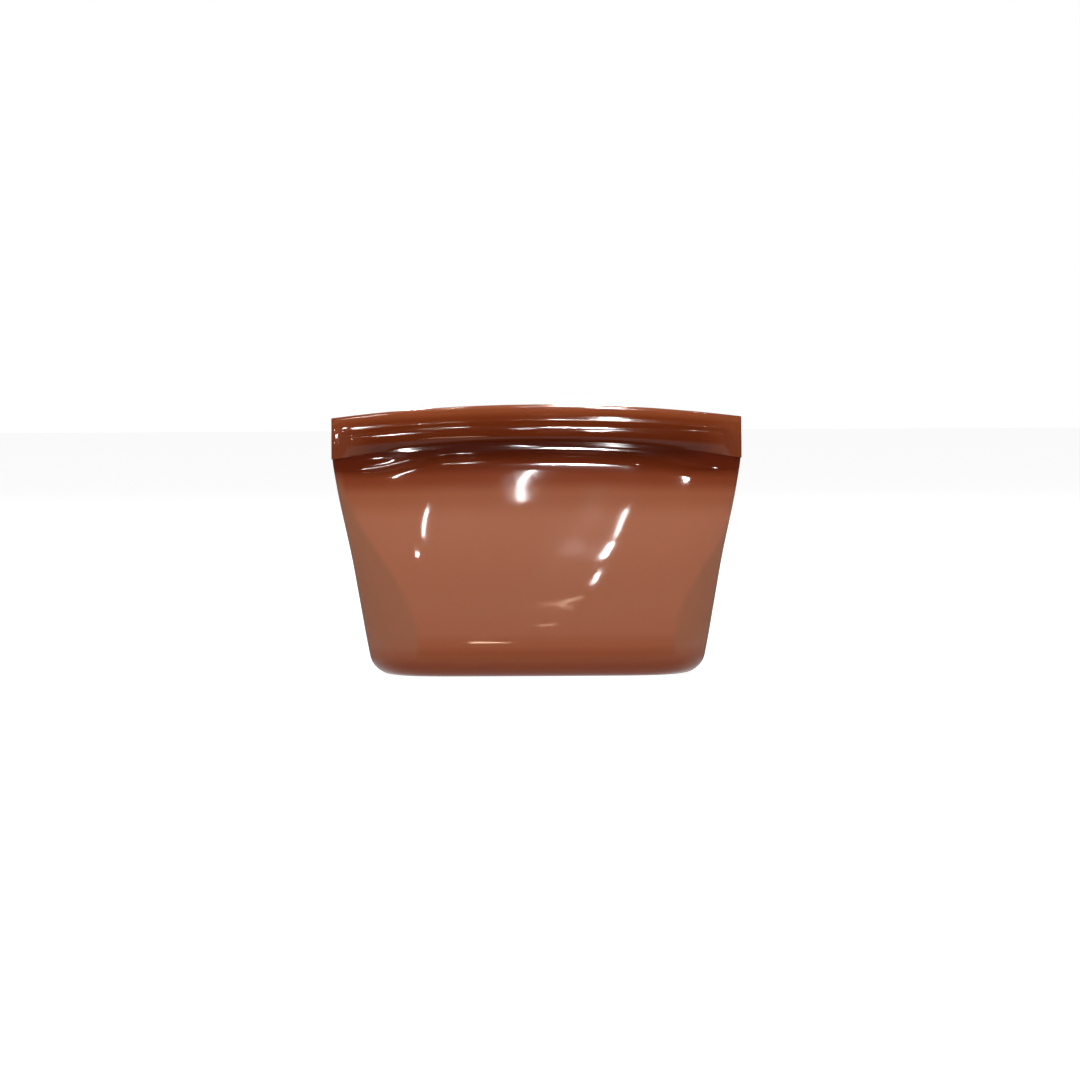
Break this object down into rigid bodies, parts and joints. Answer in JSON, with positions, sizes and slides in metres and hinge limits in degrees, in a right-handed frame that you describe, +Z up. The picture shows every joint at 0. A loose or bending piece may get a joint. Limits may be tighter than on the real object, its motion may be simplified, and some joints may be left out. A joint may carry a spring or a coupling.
{
  "type": "stand-up silicone food bag",
  "caption": "Stand-up silicone food bag with a press-together zip, rounded base and a mouth that opens in coupled flaps.",
  "frame": {"origin": "centre of the underside, on the surface the bag stands on", "axes": "+X along the zip, to the right seen from the front; +Z up; the channel half of the zip faces -Y"},
  "size_m": [0.16, 0.045, 0.105],
  "materials": {
    "wall": "satin",
    "zip": "gloss",
    "heel": "satin"
  },
  "bodies": {
    "base": {"base_floor": "heel", "base_heel": "heel", "left_end_wall": "wall", "right_end_wall": "wall", "left_corner_tab": "zip", "right_corner_tab": "zip"},
    "front_panel": {"middle_front_wall": "wall", "middle_front_channel": "zip", "middle_front_snap_lips": "zip", "middle_front_pull_lip": "zip"},
    "back_panel": {"middle_back_wall": "wall", "middle_back_strip": "zip", "middle_back_rib": "zip", "middle_back_pull_lip": "zip"},
    "front_left_flap": {"left_front_wall": "wall", "left_front_channel": "zip", "left_front_snap_lips": "zip", "left_front_pull_lip": "zip"},
    "back_left_flap": {"left_back_wall": "wall", "left_back_strip": "zip", "left_back_rib": "zip", "left_back_pull_lip": "zip"},
    "front_right_flap": {"right_front_wall": "wall", "right_front_channel": "zip", "right_front_snap_lips": "zip", "right_front_pull_lip": "zip"},
    "back_right_flap": {"right_back_wall": "wall", "right_back_strip": "zip", "right_back_rib": "zip", "right_back_pull_lip": "zip"}
  },
  "joints": [
    {"name": "front_panel_opening", "type": "hinge", "parent": "base", "child": "front_panel", "pos_m": [0, -0.0227, 0.012], "axis": [1, 0, 0], "range_deg": [0, 14], "deforming": ["middle_front_snap_lips"]},
    {"name": "back_panel_opening", "type": "hinge", "parent": "base", "child": "back_panel", "pos_m": [0, 0.0227, 0.012], "axis": [-1, 0, 0], "range_deg": [0, 14]},
    {"name": "front_left_fold", "type": "hinge", "parent": "base", "child": "front_left_flap", "pos_m": [-0.044, -0.0188, 0.012], "axis": [0.3473, -0.1363, -0.9278], "range_deg": [0, 25.2], "deforming": ["left_front_snap_lips"]},
    {"name": "back_left_fold", "type": "hinge", "parent": "base", "child": "back_left_flap", "pos_m": [-0.044, 0.0188, 0.012], "axis": [-0.3473, -0.1363, 0.9278], "range_deg": [0, 25.2]},
    {"name": "front_right_fold", "type": "hinge", "parent": "base", "child": "front_right_flap", "pos_m": [0.044, -0.0188, 0.012], "axis": [0.3473, 0.1363, 0.9278], "range_deg": [0, 25.2], "deforming": ["right_front_snap_lips"]},
    {"name": "back_right_fold", "type": "hinge", "parent": "base", "child": "back_right_flap", "pos_m": [0.044, 0.0188, 0.012], "axis": [-0.3473, 0.1363, -0.9278], "range_deg": [0, 25.2]}
  ],
  "couplings": [
    {"joint": "back_panel_opening", "follows": "front_panel_opening", "ratio": 1},
    {"joint": "front_left_fold", "follows": "front_panel_opening", "ratio": 1.8},
    {"joint": "back_left_fold", "follows": "front_panel_opening", "ratio": 1.8},
    {"joint": "front_right_fold", "follows": "front_panel_opening", "ratio": 1.8},
    {"joint": "back_right_fold", "follows": "front_panel_opening", "ratio": 1.8}
  ]
}
